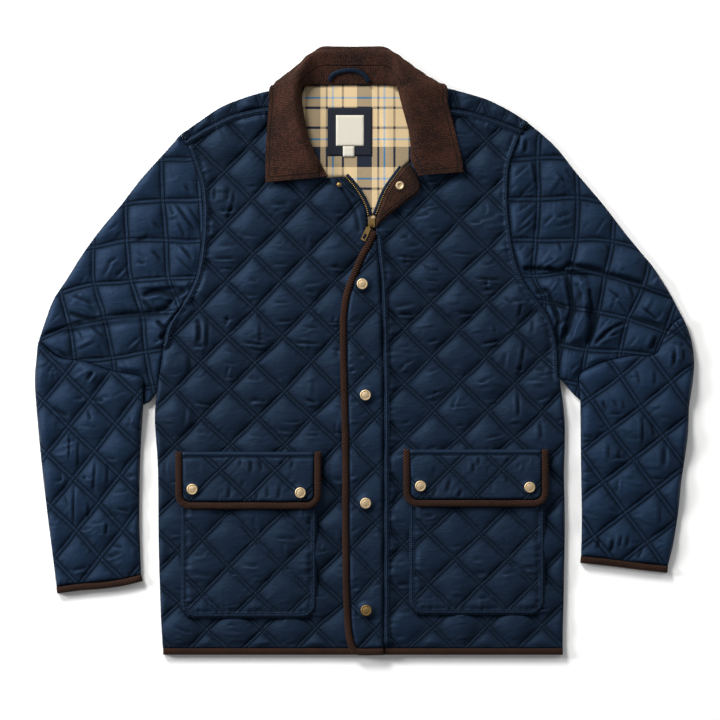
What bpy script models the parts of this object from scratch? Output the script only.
"""Quilted barn jacket, lying flat on its back with its zip part open.

Lengths in the tables are millimetres in the jacket's own flat frame: +X is the
wearer's left, +Y runs from hem to collar and +Z is up, away from the table.
Every panel is a closed wall with a plain flat underside and a quilted outer
side, and the panels lie on each other: back, sleeves, right front, left front,
then pockets, flaps and collar.
"""
import math

import bmesh
import bpy
from mathutils import Matrix, Vector

MM = 0.001

# ---------------------------------------------------------------- sizes, mm
SEAM = 0.2            # each panel stands this far inside its own outline
STEP = 24.0           # spacing of the points along a smooth outline

PITCH = 50.3          # side of one quilted diamond, 2 inches
STITCH_BAND = 0.27    # share of a diamond that slopes down to its stitch line

BACK_TOP = 4.6        # the back layer, pressed by what lies on it
LAYER_2 = 5.0         # underside of the fronts, yokes and upper sleeve panels
STITCH_Z = 8.2        # height of a front's stitch lines
CREST_Z = 12.2        # height of a front's pillows
EDGE_Z = 7.2          # height of a free edge
SEAM_Z = 8.4          # height beside a seam
RIDGE_Z = 12.4        # the felled seam that stands up along armhole and placket
RIDGE_WIDTH = 6.6
FLAT_Z = 9.2          # a front, where a pocket or the placket covers it
LAYER_3 = 9.7         # underside of the pockets and the placket
PLACKET_STITCH_Z = 12.6
PLACKET_CREST_Z = 16.4
BINDING = 8.5         # width of the corduroy tape that binds the edges
EDGE_BINDING_Z = 15.4
BINDING_START_Y = 150.0   # the front edge's tape starts just below the facing
PLACKET_START_Y = 142.0   # and the placket's inner edge below that
HEM_BINDING_Z = 9.3
HEM_Y = -396.0        # lower edge of the hem
HEM_TOP = HEM_Y + BINDING

# ------------------------------------------------------- outlines, x and y
# The points run down each edge, from collar to hem, or out from the neck.
SHOULDER_RIGHT = ((-239, 281), (-215, 298), (-188, 316), (-162, 327), (-133, 336), (-121, 337.5),
                  (-108, 335), (-95, 336), (-84, 341), (-77, 345))
SHOULDER_LEFT = ((214, 296), (189, 312), (161, 326), (125, 337), (106, 342), (90, 338), (70, 337),
                 (52, 341), (43, 345))
YOKE_END_RIGHT = -94.0   # a yoke stops here, clear of the collar's stand
YOKE_END_LEFT = 60.0
YOKE_SEAM_RIGHT = ((-235, 273), (-206, 290), (-170, 307), (-136, 315), (-88, 319))
YOKE_SEAM_LEFT = ((207, 287), (172, 300), (140, 310), (114, 314), (56, 319))
ARMHOLE_RIGHT = ((-235, 273), (-225, 253), (-214, 219), (-210, 183), (-212, 140), (-220, 95), (-237, 62),
                 (-255, 34), (-261, 10))
ARMHOLE_LEFT = ((207, 287), (201, 272), (191, 244), (188, 206), (190, 166), (195, 132), (203, 104),
                (215, 81), (230, 61), (244, 38), (252, 4), (254, -36))
SIDE_RIGHT = ((-261, 10), (-270, -53), (-273, -90), (-269, -155), (-268, -253), (-265, -350),
              (-262.5, HEM_TOP))
SIDE_LEFT = ((254, -36), (260, -80), (261, -116), (260, -168), (261, -218), (260, -298), (258, HEM_TOP))
NECK_RIGHT = ((-88, 319), (-82, 294), (-77, 271), (-67, 249), (-50, 224))
NECK_LEFT = ((56, 319), (60, 303), (65, 283), (68, 262), (62, 248), (50, 237))
NECK_BACK = ((-77, 345), (-45, 346), (10, 346), (43, 345))
ZIP_RIGHT = ((-26, 226), (-15, 214), (-6, 201), (1, 187), (4, 175), (4.5, 159))
ZIP_LEFT = ((50, 237), (30, 209), (19, 183), (14.5, 168), (14.5, 159))
UNDER_PLACKET = ((12, 159), (12.5, 149), (15, 124), (18, 85), (20, 27), (20, HEM_TOP))
FRONT_EDGE = ((9.5, 157), (2, 141), (-8, 123), (-18, 99), (-27, 75), (-31, 50), (-32, 27), (-31, -41),
              (-29, -129), (-29, -219), (-28, -311), (-25, -365), (-22, -381))
HEM_CORNER = ((-22, -381), (-18, -391), (-9, HEM_Y), (25, HEM_Y))
PLACKET_SEAM = ((15.5, 149), (18, 124), (21.5, 85), (23.5, 27), (25, -64), (25, -194), (25, HEM_TOP))
FACING_EDGE = ((50, 237), (59, 244), (70, 224), (73, 212), (68, 203), (46, 187), (29, 173), (15.5, 160))

# A sleeve lies bent at the elbow: its fold crosses the panel, the forearm
# lies over it, and the tail of the upper arm shows at the inner side.
SLEEVE_RIGHT = {
    "outer": ((-239, 281), (-266, 251), (-292, 222), (-318, 188), (-344, 157), (-370, 121), (-388, 92),
              (-405, 66), (-416, 37), (-424, 12)),
    "fold": ((-424, 12), (-411, 0), (-395, -10), (-363, -15), (-335, -25), (-318, -29), (-290, -35),
             (-288, -51), (-288, -71)),
    "forearm": ((-424, 12), (-429, -28), (-428, -64), (-421, -142), (-412, -220), (-404, -283), (-401, -308)),
    "cuff": ((-401, -308), (-370, -304), (-344, -302), (-315, -298), (-291, -292)),
    "inner": ((-291, -292), (-293, -220), (-292, -142), (-288, -71)),
    "tail": ((-288, -71), (-279, -67), (-270, -53)),
    "step": (-1.5, -3.5),
}
SLEEVE_LEFT = {
    "outer": ((214, 296), (248, 266), (276, 231), (310, 191), (344, 147), (377, 107), (395, 79), (414, 43)),
    "fold": ((414, 43), (404, 37), (393, 22), (387, 9), (381, -3), (369, -8), (348, -7), (316, -14),
             (298, -21), (281, -31), (280, -49), (281, -65)),
    "forearm": ((414, 43), (424, 20), (429.25, -9), (428, -38), (423, -71), (421, -113), (413, -168),
                (409, -207), (402, -253), (395, -281)),
    "cuff": ((395, -281), (358, -277), (319, -272), (282, -268)),
    "inner": ((282, -268), (283, -220), (282, -150), (281, -65)),
    "tail": ((281, -65), (272, -57), (262, -45), (254, -36)),
    "step": (2.5, -3.0),
}
SLEEVE_FOLDS = {
    # side: start x, y, end x, y and rise of each fold that hangs over the cloth below it
    "right": ((-405.0, 24.0, -256.0, 47.0, 2.6), (-290.0, 76.0, -226.0, 82.0, 2.2)),
    "left": ((203.0, 107.0, 312.0, 99.0, 3.2), (312.0, 99.0, 396.0, 68.0, 3.2)),
}
FOLD_LIP = 5.0        # width of a fold's steep side
FOLD_BACK = 24.0      # width of its gentle side
FOREARM_RISE = 6.4    # how far the forearm lies above the upper arm at the elbow
CUFF_TOP = 10.6

# ------------------------------------------------ quilting, one row a panel
# Each family of stitch lines passes through x, y, runs at its angle in
# degrees and repeats at its pitch.
QUILT_FRONT_RIGHT = ((-143, 54, 45.0, PITCH), (-143, 54, -45.0, PITCH))
QUILT_FRONT_LEFT = ((124, 28, 44.4, PITCH), (124, 28, -44.4, PITCH))
QUILT_PLACKET = ((18, -12.5, 47.0, PITCH * 0.98), (18, -12.5, -47.0, PITCH * 0.98))
QUILT_YOKE = ((-170, 318, 62.0, 44.0), (-170, 318, -70.0, 44.0))
QUILT_UPPER_RIGHT = ((-258, 142, 4.0, 53.0), (-258, 142, 94.0, 48.5))
QUILT_UPPER_LEFT = ((222, 143, -1.5, 53.0), (222, 143, 91.0, 50.5))
QUILT_FOREARM_RIGHT = ((-366, -65, 40.0, 50.0), (-366, -65, -49.0, 50.0))
QUILT_FOREARM_LEFT = ((361, -73, 36.0, 50.0), (361, -73, -52.0, 50.0))
QUILT_POCKET_RIGHT = ((-138, -213, 44.0, 51.5), (-138, -213, -44.0, 51.5))
QUILT_POCKET_LEFT = ((120, -209, 43.0, 49.0), (120, -209, -43.0, 49.0))
QUILT_FLAP_RIGHT = ((-152, -158, 44.0, 50.0), (-152, -158, -44.0, 50.0))
QUILT_FLAP_LEFT = ((145, -155, 44.0, 48.0), (145, -155, -44.0, 48.0))

# ------------------------------------------------------- pockets and flaps
POCKETS = {
    # name: left, right, mouth, floor, quilting
    "right": (-239.0, -62.0, -158.0, -348.0, QUILT_POCKET_RIGHT),
    "left": (58.0, 234.5, -155.0, -344.0, QUILT_POCKET_LEFT),
}
FLAPS = {
    # name: left, right, upper edge, lower edge, quilting
    "right": (-245.5, -56.5, -131.5, -206.0, QUILT_FLAP_RIGHT),
    "left": (50.5, 239.0, -128.5, -203.0, QUILT_FLAP_LEFT),
}
POCKET_CORNER = 20.0
POCKET_STITCH_Z = 12.0
POCKET_CREST_Z = 15.2
FLAP_CORNER = 19.0
FLAP_SEAM_Z = 12.7    # underside of a flap at its seam
FLAP_LIP_Z = 15.8     # underside of a flap at its lower edge
FLAP_WALL = 4.4

# ------------------------------------------------------------------- collar
COLLAR_WALL = 2.8
COLLAR = (
    # neck x, y, z;      crest x, y, z;       outer fold x, y, z;    leaf edge x, y, z
    (-48.8, 225.4, 14.8, -54.0, 225.2, 18.0, -116.0, 219.4, 16.2, -128.6, 218.1, 14.6),
    (-57.9, 242.3, 8.2, -65.0, 242.3, 23.0, -116.0, 241.0, 16.6, -128.4, 240.2, 14.6),
    (-66.0, 257.5, 8.0, -74.0, 258.2, 25.0, -116.0, 261.2, 16.8, -128.0, 262.0, 14.6),
    (-73.5, 276.1, 8.0, -82.0, 277.0, 26.0, -115.0, 281.0, 16.8, -126.8, 282.0, 14.6),
    (-78.0, 296.9, 8.0, -87.0, 297.4, 26.5, -114.0, 299.6, 16.8, -125.5, 300.0, 14.6),
    (-81.9, 319.0, 8.0, -90.5, 318.8, 26.5, -113.0, 317.6, 16.8, -124.2, 317.0, 14.6),
    (-82.8, 336.0, 8.0, -90.5, 336.0, 25.5, -112.0, 336.4, 16.4, -121.0, 337.0, 14.2),
    (-80.5, 345.5, 8.0, -87.5, 350.0, 24.5, -114.0, 351.0, 10.0, -105.0, 348.0, 2.0),
    (-76.0, 348.0, 8.0, -83.0, 362.0, 23.0, -103.0, 361.5, 8.5, -91.0, 352.5, 1.8),
    (-69.0, 349.0, 8.0, -76.0, 373.0, 21.0, -89.0, 372.0, 8.0, -79.0, 354.0, 1.7),
    (-61.0, 349.5, 8.0, -68.0, 382.0, 18.5, -75.5, 383.0, 7.8, -66.0, 354.0, 1.7),
    (-51.0, 349.8, 8.0, -54.5, 388.0, 16.5, -56.5, 395.0, 7.6, -50.0, 354.0, 1.7),
    (-34.0, 350.0, 8.0, -36.0, 388.5, 15.5, -36.5, 395.5, 7.4, -34.0, 354.0, 1.7),
    (-15.0, 350.0, 8.0, -15.0, 388.5, 15.0, -15.0, 395.2, 7.4, -15.0, 354.0, 1.7),
    (6.0, 350.0, 8.0, 7.0, 388.5, 15.5, 7.5, 395.5, 7.4, 6.0, 354.0, 1.7),
    (21.0, 349.8, 8.0, 25.0, 388.0, 16.5, 27.0, 395.0, 7.6, 20.0, 354.0, 1.7),
    (29.0, 349.5, 8.0, 37.0, 382.5, 18.5, 44.0, 385.0, 7.8, 35.0, 354.0, 1.7),
    (35.0, 349.0, 8.0, 43.0, 372.0, 21.0, 58.5, 375.0, 8.0, 48.0, 353.5, 1.7),
    (39.5, 347.8, 8.0, 46.5, 361.0, 23.0, 74.0, 365.0, 8.5, 62.0, 352.0, 1.8),
    (43.2, 345.0, 8.0, 50.0, 350.5, 24.5, 87.0, 355.5, 10.0, 77.0, 349.5, 2.0),
    (45.6, 337.0, 8.0, 54.0, 337.0, 25.5, 92.0, 341.0, 16.4, 101.0, 342.0, 14.2),
    (49.0, 322.0, 8.0, 57.5, 322.0, 26.5, 96.0, 324.0, 16.8, 107.5, 324.0, 14.6),
    (53.7, 304.6, 8.0, 62.5, 304.6, 26.5, 101.0, 303.0, 16.8, 113.0, 303.0, 14.6),
    (59.4, 282.2, 8.0, 68.0, 282.2, 25.5, 107.0, 283.0, 16.8, 118.0, 283.0, 14.6),
    (61.6, 259.9, 8.2, 69.5, 260.5, 24.0, 111.0, 263.0, 16.8, 122.6, 264.0, 14.6),
    (61.5, 247.0, 17.6, 68.0, 247.5, 21.5, 114.0, 249.5, 17.0, 126.0, 250.0, 14.6),
    (71.5, 227.0, 17.6, 76.0, 227.6, 19.5, 117.0, 231.0, 17.0, 128.3, 231.9, 14.6),
)
STAND_ROWS = 4        # rows of the wall, from the neck seam up, that are the stand
COLLAR_ROWS = 12
STAND_GAP = 1.1       # on the middle surface; it closes to 0.3 inside the bend

# ---------------------------------------------------------- small hard parts
SNAPS = (
    # name, x, y, height of the cloth under it
    ("snap_front_1", -2.9, 86.3, 16.8),
    ("snap_front_2", 1.3, -58.0, 16.8),
    ("snap_front_3", 1.6, -198.4, 16.8),
    ("snap_front_4", 2.2, -337.5, 16.8),
    ("snap_flap_right_1", -223.6, -180.2, 19.9),
    ("snap_flap_right_2", -83.2, -184.7, 20.1),
    ("snap_flap_left_1", 72.8, -176.0, 19.9),
    ("snap_flap_left_2", 214.5, -177.6, 19.9),
)
CAP = ((0.0, 0.0), (7.2, 0.0), (7.5, 1.0), (6.7, 2.2), (5.6, 1.7), (4.9, 2.6), (0.0, 3.1))
STUD = ((0.0, 0.0), (4.6, 0.0), (4.6, 0.8), (2.4, 1.0), (2.3, 2.6), (0.0, 3.0))
SOCKET = ((0.0, 0.0), (5.6, 0.0), (5.6, 1.2), (4.8, 2.2), (2.9, 2.0), (2.4, 0.9), (0.0, 0.9))

LINING_Z = 6.0
ZIP_TEETH_Z = 6.4
ZIP_TEETH = 5.0
LABEL = (
    # name, left, right, top, bottom, underside, thickness, finish
    ("label_patch", -48.0, 10.0, 316.0, 253.0, 6.3, 1.0, "navy_patch"),
    ("label", -37.0, -0.6, 306.0, 266.0, 7.6, 1.0, "cream_label"),
    ("label_tab", -28.0, -13.0, 265.6, 252.0, 7.6, 1.0, "cream_label"),
)
LOOP = ((-46, 350), (-41, 358), (-28, 363), (-12, 363.5), (-1, 358), (6, 349))
LOOP_WIDTH = 5.6
LOOP_Z = 11.6         # underside of the loop at the neck seam
LOOP_SLOPE = 0.16     # it leans up with the collar's stand

SLIDER = (9.5, 166.2, 8.0, 11.4, 6.5, 12.0)   # centre x, y, width, length, bottom, top
PULL_PIVOT = (7.4, 163.4, 14.2)
PULL_END = (-2.0, 143.0)
PULL_WIDTH = 6.4
PULL_WALL = 1.5
PIN_RADIUS = 0.7
EYE_RADIUS = 1.15
EYE_OUTER = 2.2
EYE_WIDTH = 2.4

# ------------------------------------------------------------------ colours
COLOURS = {
    # name: red, green, blue, roughness, metallic
    "navy_taffeta": (0.012, 0.027, 0.062, 0.55, 0.0),
    "brown_corduroy": (0.060, 0.024, 0.014, 0.9, 0.0),
    "plaid_cotton": (0.62, 0.50, 0.30, 0.9, 0.0),
    "navy_patch": (0.010, 0.018, 0.045, 0.8, 0.0),
    "cream_label": (0.80, 0.78, 0.70, 0.7, 0.0),
    "brass": (0.62, 0.47, 0.30, 0.35, 1.0),
}


def clear_scene():
    for old in list(bpy.data.objects):
        bpy.data.objects.remove(old, do_unlink=True)


def material(name):
    """The Principled material of one finish, made once."""
    if name in bpy.data.materials:
        return bpy.data.materials[name]
    red, green, blue, roughness, metallic = COLOURS[name]
    made = bpy.data.materials.new(name)
    made.use_nodes = True
    shader = made.node_tree.nodes["Principled BSDF"]
    shader.inputs["Base Color"].default_value = (red, green, blue, 1.0)
    shader.inputs["Roughness"].default_value = roughness
    shader.inputs["Metallic"].default_value = metallic
    made.diffuse_color = (red, green, blue, 1.0)
    return made


def add_object(name, body, finish):
    """Turn a bmesh in millimetres into the named object in metres."""
    bmesh.ops.recalc_face_normals(body, faces=body.faces)
    bmesh.ops.scale(body, vec=(MM, MM, MM), verts=body.verts)
    mesh = bpy.data.meshes.new(name)
    body.to_mesh(mesh)
    body.free()
    mesh.materials.append(material(finish))
    made = bpy.data.objects.new(name, mesh)
    bpy.context.scene.collection.objects.link(made)
    return made


# ------------------------------------------------------------------- curves
def smooth(points, step=STEP):
    """A Catmull-Rom curve through the points, read about every step mm."""
    ends = [Vector(p) for p in points]
    ends = [2 * ends[0] - ends[1]] + ends + [2 * ends[-1] - ends[-2]]
    curve = []
    for a, b, c, d in zip(ends, ends[1:], ends[2:], ends[3:]):
        pieces = max(1, round((c - b).length / step))
        for i in range(pieces):
            t = i / pieces
            curve.append(0.5 * (2 * b + (c - a) * t + (2 * a - 5 * b + 4 * c - d) * t ** 2
                                + (3 * b - a - 3 * c + d) * t ** 3))
    curve.append(ends[-2])
    return curve


def chain(*curves):
    """Join curves end to end into one closed outline without double points."""
    outline = []
    for curve in curves:
        for point in curve:
            point = Vector(point)
            if not outline or (point - outline[-1]).length > 0.05:
                outline.append(point)
    if (outline[0] - outline[-1]).length < 0.05:
        outline.pop()
    return outline


def inset(outline, distance=SEAM):
    """The closed outline, moved inwards by a distance along mitred corners."""
    turned = sum(a.x * b.y - b.x * a.y for a, b in zip(outline, outline[1:] + outline[:1]))
    sign = 1.0 if turned > 0 else -1.0
    moved = []
    for i, here in enumerate(outline):
        before = (here - outline[i - 1]).normalized()
        after = (outline[(i + 1) % len(outline)] - here).normalized()
        normal = (Vector((-before.y - after.y, before.x + after.x)) * sign).normalized()
        reach = max(0.45, abs(normal.dot(Vector((-after.y, after.x)))))
        moved.append(here + normal * distance / reach)
    return moved


def shifted(curve, distance):
    """An open curve, moved to its left-hand side by a distance."""
    moved = []
    for i, here in enumerate(curve):
        along = curve[min(i + 1, len(curve) - 1)] - curve[max(i - 1, 0)]
        moved.append(here + Vector((-along.y, along.x)).normalized() * distance)
    return moved


def lower_curve(left, right, top, bottom, corner):
    """Down a pocket's left side, round its two lower corners and up its right side."""
    points = [Vector((left, top))]
    for centre_x, start in ((left + corner, 180.0), (right - corner, 270.0)):
        for i in range(6):
            angle = math.radians(start + 90.0 * i / 5)
            points.append(Vector((centre_x + corner * math.cos(angle),
                                  bottom + corner + corner * math.sin(angle))))
    points.append(Vector((right, top)))
    return points


def edge_distance(outline, x, y, closed=True):
    """How far a point is from the nearest stretch of an outline."""
    point = Vector((x, y))
    nearest = 1e9
    for a, b in zip(outline, outline[1:] + (outline[:1] if closed else [])):
        along = b - a
        t = max(0.0, min(1.0, (point - a).dot(along) / max(along.length_squared, 1e-9)))
        nearest = min(nearest, (point - a - along * t).length)
    return nearest


def holds(outline, x, y):
    """True where a point lies inside a closed outline."""
    inside = False
    for a, b in zip(outline, outline[1:] + outline[:1]):
        if (a.y > y) != (b.y > y) and x < (b.x - a.x) * (y - a.y) / (b.y - a.y) + a.x:
            inside = not inside
    return inside


def ease(t):
    t = max(0.0, min(1.0, t))
    return t * t * (3 - 2 * t)


def mix(a, b, t):
    return a + (b - a) * t


# ----------------------------------------------------------------- quilting
def stitch_distance(family, x, y):
    """Where a point lies across a family of lines, in pitches."""
    line_x, line_y, degrees, pitch = family
    angle = math.radians(degrees)
    return ((y - line_y) * math.cos(angle) - (x - line_x) * math.sin(angle)) / pitch


def pillow(quilt, x, y):
    """0 on a stitch line, 1 on the crown of a diamond."""
    height = 1.0
    for family in quilt:
        across = stitch_distance(family, x, y)
        height *= ease(abs(across - round(across)) / STITCH_BAND)
    return height


def quilt_cuts(quilt, outline):
    """The lines that cut a panel: each stitch line and the shoulders beside it."""
    cuts = []
    for family in quilt:
        reach = [stitch_distance(family, p.x, p.y) for p in outline]
        line_x, line_y, degrees, pitch = family
        normal = Vector((-math.sin(math.radians(degrees)), math.cos(math.radians(degrees)), 0))
        for number in range(math.floor(min(reach)), math.ceil(max(reach)) + 1):
            for shoulder in (-STITCH_BAND, 0.0, STITCH_BAND):
                across = number + shoulder
                if min(reach) + 0.04 < across < max(reach) - 0.04:
                    cuts.append((Vector((line_x, line_y, 0)) + normal * across * pitch, normal))
    return cuts


def level_cut(y):
    return Vector((0, y, 0)), Vector((0, 1, 0))


def upright_cut(x):
    return Vector((x, 0, 0)), Vector((1, 0, 0))


# ------------------------------------------------------------------- panels
def vert_on_rim(body, point):
    """The panel's own corner at a point, made by splitting an edge if need be."""
    point = Vector((point[0], point[1], 0))
    nearest = min(body.verts, key=lambda vert: (vert.co - point).length)
    if (nearest.co - point).length < 1.0:
        return nearest
    best = None
    for edge in body.edges:
        a, b = edge.verts[0].co, edge.verts[1].co
        t = max(0.02, min(0.98, (point - a).dot(b - a) / (b - a).length_squared))
        gap = (a + (b - a) * t - point).length
        if best is None or gap < best[0]:
            best = (gap, edge, t)
    return bmesh.utils.edge_split(best[1], best[1].verts[0], best[2])[1]


def divide(body, line):
    """Split the panel's face along a line that runs from rim to rim."""
    start, end = vert_on_rim(body, line[0]), vert_on_rim(body, line[-1])
    for face in body.faces:
        if start in face.verts and end in face.verts:
            bmesh.utils.face_split(face, start, end, coords=[(p[0], p[1], 0) for p in line[1:-1]])
            return
    raise ValueError("no face holds both ends of a dividing line")


def panel(name, finish, outline, underside, regions, dividers=()):
    """A closed wall between a plain underside and a raised upper side.

    Dividers part the panel. Each region is a point inside a part, the cuts
    across that part, and the height of its upper side as a function of x and y.
    The first region's height also serves the parts that have no row of their own.
    """
    body = bmesh.new()
    body.faces.new([body.verts.new((p.x, p.y, 0)) for p in outline])
    for line in dividers:
        divide(body, line)
    part_of = body.faces.layers.int.new("part")
    for face in body.faces:
        loop = [vert.co.xy for vert in face.verts]
        face[part_of] = next((i + 1 for i, (probe, _, _) in enumerate(regions)
                              if probe is None or holds(loop, *probe)), 0)
    for i, (_, cuts, _) in enumerate(regions):
        for point, normal in cuts:
            faces = [face for face in body.faces if face[part_of] == i + 1]
            part = faces + list({e for f in faces for e in f.edges}) + list({v for f in faces for v in f.verts})
            bmesh.ops.bisect_plane(body, geom=part, dist=0.02, plane_co=point, plane_no=normal)
    body.normal_update()
    bmesh.ops.triangulate(body, faces=body.faces, quad_method="BEAUTY", ngon_method="BEAUTY")
    heights = {}
    for vert in body.verts:
        parts = {face[part_of] for face in vert.link_faces} - {0} or {1}
        heights[vert] = min(regions[i - 1][2](vert.co.x, vert.co.y) for i in parts)
    rim = [edge for edge in body.edges if edge.is_boundary]
    skirt = bmesh.ops.extrude_edge_only(body, edges=rim)["geom"]
    lower = [item for item in skirt if isinstance(item, bmesh.types.BMVert)]
    base = bmesh.ops.contextual_create(body, geom=[e for e in body.edges if e.is_boundary])["faces"]
    body.normal_update()
    bmesh.ops.triangulate(body, faces=base, quad_method="BEAUTY", ngon_method="BEAUTY")
    for vert, height in heights.items():
        vert.co.z = height
    for vert in lower:
        vert.co.z = underside(vert.co.x, vert.co.y) if callable(underside) else underside
    return add_object(name, body, finish)


def quilted(quilt, outline, stitch=STITCH_Z, crest=CREST_Z, edge=EDGE_Z, rolled=14.0):
    """The height of a quilted panel that rolls down to its edge."""
    def height(x, y):
        z = mix(stitch, crest, pillow(quilt, x, y))
        return mix(edge, z, ease(edge_distance(outline, x, y) / rolled))
    return height


def tape(name, finish, curve, width, underside, top, soft_edge=1.6):
    """A flat tape, round on top, on the left-hand side of its curve, or on the right if width is negative."""
    inner = shifted(curve, width)
    middle = shifted(curve, width / 2)
    outline = inset(chain(curve, reversed(inner)))

    def height(x, y):
        crown = top(x, y) if callable(top) else top
        return crown - soft_edge * (1 - ease(edge_distance(outline, x, y) / (abs(width) / 2 - SEAM)))
    return panel(name, finish, outline, underside, [(None, (), height)], [middle])


# ------------------------------------------------------------- body panels
def build_back():
    outline = inset(chain(
        reversed(smooth(SHOULDER_RIGHT)), [SHOULDER_RIGHT[0]], smooth(ARMHOLE_RIGHT), smooth(SIDE_RIGHT),
        reversed(smooth(SIDE_LEFT)), reversed(smooth(ARMHOLE_LEFT)), smooth(SHOULDER_LEFT),
        reversed(smooth(NECK_BACK))))
    panel("back_panel", "navy_taffeta", outline, 0.0, [(None, (), lambda x, y: BACK_TOP)])
    hem = smooth(((SIDE_RIGHT[-1][0], HEM_Y), (0, HEM_Y), (SIDE_LEFT[-1][0], HEM_Y)))
    tape("hem_binding_back", "brown_corduroy", hem, BINDING - SEAM, 0.0, BACK_TOP, 0.8)


def build_lining():
    outline = inset(chain(
        reversed(smooth(NECK_BACK)), smooth(NECK_RIGHT), [ZIP_RIGHT[0]], smooth(ZIP_RIGHT),
        reversed(smooth(ZIP_LEFT)), reversed(smooth(NECK_LEFT))))
    panel("back_lining", "plaid_cotton", outline, LAYER_2, [(None, (), lambda x, y: LINING_Z)])


def ridge_height(across):
    """The felled seam beside a seam line, at a distance across it."""
    t = 1 - abs(across / (RIDGE_WIDTH / 2) - 1)
    return mix(SEAM_Z, RIDGE_Z, ease(t))


def build_front_right():
    armhole, side = smooth(ARMHOLE_RIGHT), smooth(SIDE_RIGHT)
    outline = inset(chain(
        armhole, side, reversed(smooth(UNDER_PLACKET)), [ZIP_RIGHT[-1]], reversed(smooth(ZIP_RIGHT)),
        reversed(smooth(NECK_RIGHT)), reversed(smooth(YOKE_SEAM_RIGHT))))
    left, right, mouth, floor, _ = POCKETS["right"]
    cuts = quilt_cuts(QUILT_FRONT_RIGHT, outline) + [
        upright_cut(left - 1), upright_cut(right + 1), level_cut(mouth + 1), level_cut(floor - 1)]
    soft = quilted(QUILT_FRONT_RIGHT, outline)

    def height(x, y):
        across = edge_distance(armhole, x, y, closed=False)
        if across < RIDGE_WIDTH + 0.5:
            return ridge_height(across)
        if left - 1.05 < x < right + 1.05 and floor - 1.05 < y < mouth + 1.05:
            return FLAT_Z
        return soft(x, y)

    front_edge = [p + Vector((-1.6, 0)) for p in smooth(FRONT_EDGE)]
    lap = [Vector(ZIP_RIGHT[-1])] + front_edge + [Vector((-23.5, HEM_TOP))]
    ridges = [shifted(armhole, RIDGE_WIDTH / 2), shifted(armhole, RIDGE_WIDTH)]
    panel("front_right", "navy_taffeta", outline, LAYER_2,
          [((-143, 80), cuts, height), ((8, 0), (), lambda x, y: FLAT_Z)], [lap] + ridges)


def build_front_left():
    armhole, side, seam = smooth(ARMHOLE_LEFT), smooth(SIDE_LEFT), smooth(PLACKET_SEAM)
    outline = inset(chain(
        smooth(YOKE_SEAM_LEFT), smooth(NECK_LEFT), smooth(ZIP_LEFT), seam, reversed(side), reversed(armhole)))
    left, right, mouth, floor, _ = POCKETS["left"]
    cuts = quilt_cuts(QUILT_FRONT_LEFT, outline) + [
        upright_cut(left - 1), upright_cut(right + 1), level_cut(mouth + 1), level_cut(floor - 1)]
    soft = quilted(QUILT_FRONT_LEFT, outline)

    def height(x, y):
        across = edge_distance(armhole, x, y, closed=False)
        if across < RIDGE_WIDTH + 0.5:
            return ridge_height(across)
        from_seam = edge_distance(seam, x, y, closed=False)
        if from_seam < RIDGE_WIDTH + 0.5:
            return ridge_height(from_seam) + 3.0
        if left - 1.05 < x < right + 1.05 and floor - 1.05 < y < mouth + 1.05:
            return FLAT_Z
        return soft(x, y) + (0.0 if y > 150 else 3.0 * ease(1 - from_seam / 32.0))

    ridges = [shifted(armhole, -RIDGE_WIDTH / 2), shifted(armhole, -RIDGE_WIDTH),
              shifted(seam, RIDGE_WIDTH / 2), shifted(seam, RIDGE_WIDTH)]
    panel("front_left", "navy_taffeta", outline, LAYER_2, [((124, 80), cuts, height)], ridges)


def build_placket():
    edge = smooth(FRONT_EDGE, 12.0) + smooth(HEM_CORNER, 9.0)[1:]
    inner = [p for p in shifted(edge, BINDING) if p.y < PLACKET_START_Y]
    outline = inset(chain(inner, reversed(smooth(PLACKET_SEAM))))
    soft = quilted(QUILT_PLACKET, outline, PLACKET_STITCH_Z, PLACKET_CREST_Z, 12.0, 8.0)
    panel("placket", "navy_taffeta", outline, LAYER_3, [(None, quilt_cuts(QUILT_PLACKET, outline), soft)])
    tape("edge_binding_left", "brown_corduroy", [p for p in edge if p.y < BINDING_START_Y], BINDING,
         LAYER_3, EDGE_BINDING_Z)


def build_hems():
    right = smooth(((SIDE_RIGHT[-1][0], HEM_Y), (-120, HEM_Y), (18, HEM_Y)))
    left = smooth(((25, HEM_Y), (140, HEM_Y), (SIDE_LEFT[-1][0], HEM_Y)))
    tape("hem_binding_right", "brown_corduroy", right, BINDING, LAYER_2, HEM_BINDING_Z)
    tape("hem_binding_left", "brown_corduroy", left, BINDING, LAYER_2, HEM_BINDING_Z + 1)


def build_yokes():
    for side, shoulder, seam, tip in (("right", SHOULDER_RIGHT, YOKE_SEAM_RIGHT, ARMHOLE_RIGHT[0]),
                                      ("left", SHOULDER_LEFT, YOKE_SEAM_LEFT, ARMHOLE_LEFT[0])):
        clear_of_stand = [p for p in smooth(shoulder) if not YOKE_END_RIGHT < p.x < YOKE_END_LEFT]
        outline = inset(chain(clear_of_stand, reversed(smooth(seam))))
        soft = quilted(QUILT_YOKE, outline, edge=8.0, rolled=9.0)
        panel("yoke_" + side, "navy_taffeta", outline, LAYER_2, [(None, quilt_cuts(QUILT_YOKE, outline), soft)])


# ------------------------------------------------------------------ sleeves
def fold_height(folds, x, y):
    """How far the folds raise a point: steep on the lower side, gentle above."""
    raised = 0.0
    for x0, y0, x1, y1, rise in folds:
        along = Vector((x1 - x0, y1 - y0))
        place = Vector((x - x0, y - y0))
        share = place.dot(along) / along.length_squared
        above = (along.x * place.y - along.y * place.x) / along.length
        ends = ease(share / 0.12 + 0.5) * ease((1 - share) / 0.12 + 0.5)
        if above > 0:
            raised += rise * ends * min(ease(above / FOLD_LIP), ease(1 - (above - FOLD_LIP) / FOLD_BACK))
    return raised


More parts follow.
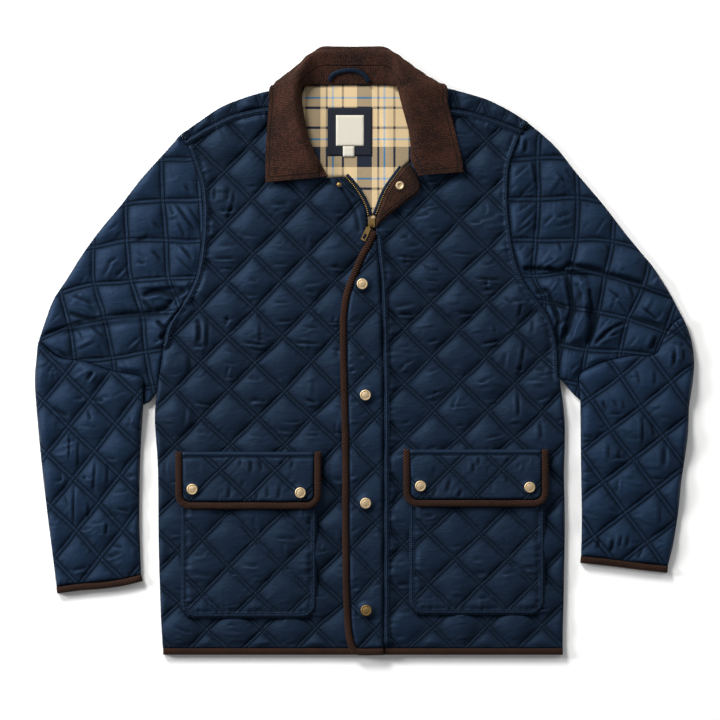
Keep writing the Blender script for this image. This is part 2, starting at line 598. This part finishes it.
def fold_cuts(folds):
    cuts = []
    for x0, y0, x1, y1, _ in folds:
        normal = Vector((y0 - y1, x1 - x0, 0)).normalized()
        for across in (0.0, FOLD_LIP, FOLD_LIP + FOLD_BACK):
            cuts.append((Vector((x0, y0, 0)) + normal * across, normal))
    return cuts


def build_sleeve(side, table, armhole, side_seam, quilt_upper, quilt_forearm, upper, forearm):
    lowest = table["tail"][-1][1] - 0.5
    body_side = smooth(armhole) + [p for p in smooth(side_seam)[1:] if p.y > lowest]
    outline = inset(chain(
        smooth(table["outer"]), smooth(table["forearm"]), smooth(table["cuff"]), smooth(table["inner"]),
        smooth(table["tail"]), reversed(body_side)))
    panel("sleeve_%s_under" % side, "navy_taffeta", outline, 0.0, [(None, (), lambda x, y: BACK_TOP)])

    fold = smooth(table["fold"])
    step = [p + Vector(table["step"]) for p in fold]
    elbow_y = sum(p.y for p in fold) / len(fold)
    cuff_y = table["cuff"][-1][1]
    plain_upper = quilted(quilt_upper, outline)
    folds = SLEEVE_FOLDS[side]

    def upper_height(x, y):
        return plain_upper(x, y) + fold_height(folds, x, y) * ease(edge_distance(outline, x, y) / 9.0)

    def forearm_height(x, y):
        lift = FOREARM_RISE * (0.15 + 0.85 * ease((y - cuff_y) / (elbow_y - cuff_y)))
        soft = quilted(quilt_forearm, outline, STITCH_Z + lift, CREST_Z + lift, EDGE_Z + lift / 2)
        return soft(x, y)

    panel("sleeve_%s_top" % side, "navy_taffeta", outline, LAYER_2,
          [(upper, quilt_cuts(quilt_upper, outline) + fold_cuts(folds), upper_height),
           (forearm, quilt_cuts(quilt_forearm, outline), forearm_height)], [fold, step])
    cuff_binding("cuff_binding_" + side, smooth(table["cuff"]))


def cuff_binding(name, cuff):
    """The tape round a cuff: a flattened ring whose two layers lie on each other."""
    if cuff[0].x > cuff[-1].x:
        cuff = cuff[::-1]
    ring = tape(name, "brown_corduroy", cuff, -BINDING, 0.0, CUFF_TOP, 2.4)
    outer = shifted(cuff, 1.0)
    inner = shifted(cuff, -BINDING - 1.0)
    mouth = chain(outer, reversed(inner))
    middle = (cuff[0] + cuff[-1]) / 2
    along = (cuff[-1] - cuff[0]).normalized()
    short = 1.0 - 6.0 / (cuff[-1] - cuff[0]).length
    mouth = [p + along * (p - middle).dot(along) * (short - 1) for p in mouth]
    slit = panel(name + "_slit", "brown_corduroy", mouth, BACK_TOP, [(None, (), lambda x, y: LAYER_2)])
    cut_away(ring, slit)


def cut_away(target, cutter):
    cutter.hide_render = True
    cutter.display_type = "WIRE"
    cut = target.modifiers.new("cut", "BOOLEAN")
    cut.operation = "DIFFERENCE"
    cut.object = cutter


def join_on(target, other):
    other.hide_render = True
    other.display_type = "WIRE"
    join = target.modifiers.new("join", "BOOLEAN")
    join.operation = "UNION"
    join.object = other


# -------------------------------------------------------- pockets and flaps
def flap_underside(top, bottom):
    """A flap's underside slopes up from its seam, over the pocket, to its lip."""
    return lambda x, y: mix(FLAP_SEAM_Z, FLAP_LIP_Z, (top - y) / (top - bottom))


def build_pocket(side):
    left, right, mouth, floor, quilt = POCKETS[side]
    _, _, flap_top, flap_bottom, _ = FLAPS[side]
    outline = lower_curve(left, right, mouth, floor, POCKET_CORNER)
    under_flap = flap_underside(flap_top, flap_bottom)
    soft = quilted(quilt, outline, POCKET_STITCH_Z, POCKET_CREST_Z, LAYER_3 + 2.2, 10.0)

    def height(x, y):
        return soft(x, y) if y < flap_bottom else min(soft(x, y), under_flap(x, y) - 0.6)
    cuts = quilt_cuts(quilt, outline) + [level_cut(flap_bottom), level_cut(flap_bottom + 20)]
    panel("pocket_" + side, "navy_taffeta", outline, LAYER_3, [(None, cuts, height)])


def build_flap(side):
    left, right, top, bottom, quilt = FLAPS[side]
    underside = flap_underside(top, bottom)
    inner = inset(lower_curve(left + BINDING, right - BINDING, top, bottom + BINDING, FLAP_CORNER - BINDING))

    def height(x, y):
        rim = ease(edge_distance(inner, x, y) / 6.0)
        return underside(x, y) + mix(3.2, 3.4 + (FLAP_WALL - 3.4) * pillow(quilt, x, y), rim)
    panel("flap_" + side, "navy_taffeta", inner, underside, [(None, quilt_cuts(quilt, inner), height)])
    tape("flap_binding_" + side, "brown_corduroy", lower_curve(left, right, top, bottom, FLAP_CORNER),
         BINDING, underside, lambda x, y: underside(x, y) + FLAP_WALL + 0.5, 1.3)


# ------------------------------------------------------------------- collar
def collar_section(row):
    """One section of the collar's middle surface, from the neck seam to the leaf's edge."""
    neck, crest, fold, edge = (Vector(row[i:i + 3]) for i in (0, 3, 6, 9))
    lean = ease(((crest - neck).xy.length - 9.0) / 30.0)
    rise = neck + (crest - neck) * 0.12
    rise.z = mix(neck.z, crest.z, mix(0.55, 0.2, lean))
    return neck, rise, crest, mix(crest, fold, 0.5) + Vector((0, 0, 0.8)), fold, edge


def collar_rows():
    """The sections, each read at evenly numbered places along its own curve."""
    rows = []
    for row in COLLAR:
        curve = smooth(collar_section(row), 2.0)
        lengths = [0.0]
        for a, b in zip(curve, curve[1:]):
            lengths.append(lengths[-1] + (b - a).length)
        points = []
        for i in range(COLLAR_ROWS + 1):
            wanted = lengths[-1] * i / COLLAR_ROWS
            j = max(k for k in range(len(lengths) - 1) if lengths[k] <= wanted + 1e-9)
            share = (wanted - lengths[j]) / (lengths[j + 1] - lengths[j])
            points.append(mix(curve[j], curve[j + 1], min(share, 1.0)))
        rows.append(points)
    return rows


def build_collar():
    rows = collar_rows()
    for name, first, last in (("collar_stand", 0, STAND_ROWS), ("collar_leaf", STAND_ROWS, COLLAR_ROWS)):
        body = bmesh.new()
        grid = []
        for points in rows:
            kept = [p.copy() for p in points[first:last + 1]]
            if first:
                kept[0] += (kept[1] - kept[0]).normalized() * STAND_GAP
            grid.append([body.verts.new(p) for p in kept])
        for a, b in zip(grid, grid[1:]):
            for i in range(len(a) - 1):
                body.faces.new((a[i], b[i], b[i + 1], a[i + 1]))
        wall = add_object(name, body, "brown_corduroy")
        thick = wall.modifiers.new("wall", "SOLIDIFY")
        thick.thickness = COLLAR_WALL * MM
        thick.offset = 0.0
        thick.use_even_offset = True
        flat = wall.modifiers.new("triangles", "TRIANGULATE")
        flat.quad_method = "SHORTEST_DIAGONAL"


def build_facing():
    outline = inset(chain(smooth(FACING_EDGE), reversed(smooth(ZIP_LEFT))), 0.4)
    panel("facing_left", "brown_corduroy", outline, CREST_Z + 0.6,
          [(None, (), lambda x, y: CREST_Z + 1.6 + 2.0 * ease(edge_distance(outline, x, y) / 4.0))],
          [[Vector((56, 240)), Vector((52, 215)), Vector((36, 195)), Vector((15, 163.5))]])


# ---------------------------------------------------------- small hard parts
def turned(name, profile, centre, finish="brass", steps=14):
    """A turned piece about an upright axis, from its bottom centre to its top."""
    body = bmesh.new()
    verts = [body.verts.new((r, 0, z)) for r, z in profile]
    edges = [body.edges.new(pair) for pair in zip(verts, verts[1:])]
    bmesh.ops.spin(body, geom=verts + edges, cent=(0, 0, 0), axis=(0, 0, 1), angle=math.tau,
                   steps=steps, use_merge=True)
    bmesh.ops.remove_doubles(body, verts=body.verts, dist=0.001)
    bmesh.ops.translate(body, vec=centre, verts=body.verts)
    return add_object(name, body, finish)


def build_snaps():
    for name, x, y, z in SNAPS:
        turned(name, CAP, (x, y, z + 0.3))
    turned("snap_stud", STUD, (-32.9, 215.4, CREST_Z + 0.3))
    turned("snap_socket", SOCKET, (46.1, 214.1, CREST_Z + 4.0))


def box(name, finish, left, right, bottom, top, low, high):
    outline = [Vector(p) for p in ((left, bottom), (right, bottom), (right, top), (left, top))]
    return panel(name, finish, outline, low, [(None, (), lambda x, y: high)])


def build_label_and_loop():
    for name, left, right, top, bottom, low, wall, finish in LABEL:
        box(name, finish, left, right, bottom, top, low, low + wall)

    def underside(x, y):
        return LOOP_Z + (y - LOOP[-1][1]) * LOOP_SLOPE
    tape("hanger_loop", "navy_patch", shifted(smooth(LOOP, 6.0), -LOOP_WIDTH / 2), LOOP_WIDTH,
         underside, lambda x, y: underside(x, y) + 2.2, 0.5)


def build_zip():
    right = [p for p in smooth(ZIP_RIGHT, 12.0) if p.y > 176]
    left = [p for p in smooth(ZIP_LEFT, 12.0) if p.y > 176]
    tape("zip_teeth_right", "brass", right, ZIP_TEETH, ZIP_TEETH_Z, ZIP_TEETH_Z + 2.4, 0.6)
    tape("zip_teeth_left", "brass", left, -ZIP_TEETH, ZIP_TEETH_Z, ZIP_TEETH_Z + 2.4, 0.6)

    x, y, width, length, low, high = SLIDER
    slider = box("zip_slider", "brass", x - width / 2, x + width / 2, y - length / 2, y + length / 2, low, high)
    pivot = Vector(PULL_PIVOT)
    along = (Vector(PULL_END) - pivot.xy).normalized()
    across = Vector((-along.y, along.x))
    frame = Matrix(((along.x, across.x, 0, pivot.x), (along.y, across.y, 0, pivot.y), (0, 0, 1, pivot.z),
                    (0, 0, 0, 1)))
    cheek_gap = EYE_WIDTH / 2 + 0.35
    for n, offset in enumerate((-cheek_gap - 0.5, cheek_gap + 0.5)):
        cheek = placed_box("zip_cheek_%d" % n, frame, (-1.2, 1.2), (offset - 0.5, offset + 0.5),
                           (high - 0.6 - pivot.z, 1.3))
        join_on(slider, cheek)
    pin = rod("zip_pin", frame, PIN_RADIUS, cheek_gap + 0.6, 10)
    join_on(slider, pin)
    build_pull(frame)


def placed_box(name, frame, xs, ys, zs):
    body = bmesh.new()
    bmesh.ops.create_cube(body, size=1.0)
    centre = Vector((sum(xs) / 2, sum(ys) / 2, sum(zs) / 2))
    size = Vector((xs[1] - xs[0], ys[1] - ys[0], zs[1] - zs[0]))
    bmesh.ops.scale(body, vec=size, verts=body.verts)
    bmesh.ops.translate(body, vec=centre, verts=body.verts)
    bmesh.ops.transform(body, matrix=frame, verts=body.verts)
    return add_object(name, body, "brass")


def rod(name, frame, radius, half_length, sides):
    """A round bar along the pull's hinge."""
    body = bmesh.new()
    bmesh.ops.create_cone(body, cap_ends=True, segments=sides, radius1=radius, radius2=radius,
                          depth=2 * half_length, matrix=Matrix.Rotation(math.pi / 2, 4, "X"))
    bmesh.ops.transform(body, matrix=frame, verts=body.verts)
    return add_object(name, body, "brass")


def build_pull(frame):
    """The pull tab: an eye on the slider's pin, then a plate with a window."""
    reach = (Vector(PULL_END) - Vector(PULL_PIVOT).xy).length
    pull = rod("zip_pull", frame, EYE_OUTER, EYE_WIDTH / 2, 16)
    plate = placed_box("zip_plate", frame, (4.2, reach), (-PULL_WIDTH / 2, PULL_WIDTH / 2),
                       (-PULL_WALL / 2, PULL_WALL / 2))
    neck = placed_box("zip_neck", frame, (1.0, 4.6), (-EYE_WIDTH / 2, EYE_WIDTH / 2),
                      (-PULL_WALL / 2, PULL_WALL / 2))
    join_on(pull, neck)
    join_on(pull, plate)
    cut_away(pull, rod("zip_eye", frame, EYE_RADIUS, EYE_WIDTH, 16))
    cut_away(pull, placed_box("zip_window", frame, (reach - 9.0, reach - 2.0), (-1.8, 1.8), (-3.0, 3.0)))


def main():
    clear_scene()
    build_back()
    build_lining()
    build_front_right()
    build_front_left()
    build_placket()
    build_hems()
    build_yokes()
    build_sleeve("right", SLEEVE_RIGHT, ARMHOLE_RIGHT, SIDE_RIGHT, QUILT_UPPER_RIGHT, QUILT_FOREARM_RIGHT,
                 (-300, 120), (-360, -150))
    build_sleeve("left", SLEEVE_LEFT, ARMHOLE_LEFT, SIDE_LEFT, QUILT_UPPER_LEFT, QUILT_FOREARM_LEFT,
                 (290, 120), (350, -150))
    for side in ("right", "left"):
        build_pocket(side)
        build_flap(side)
    build_collar()
    build_facing()
    build_snaps()
    build_label_and_loop()
    build_zip()


main()
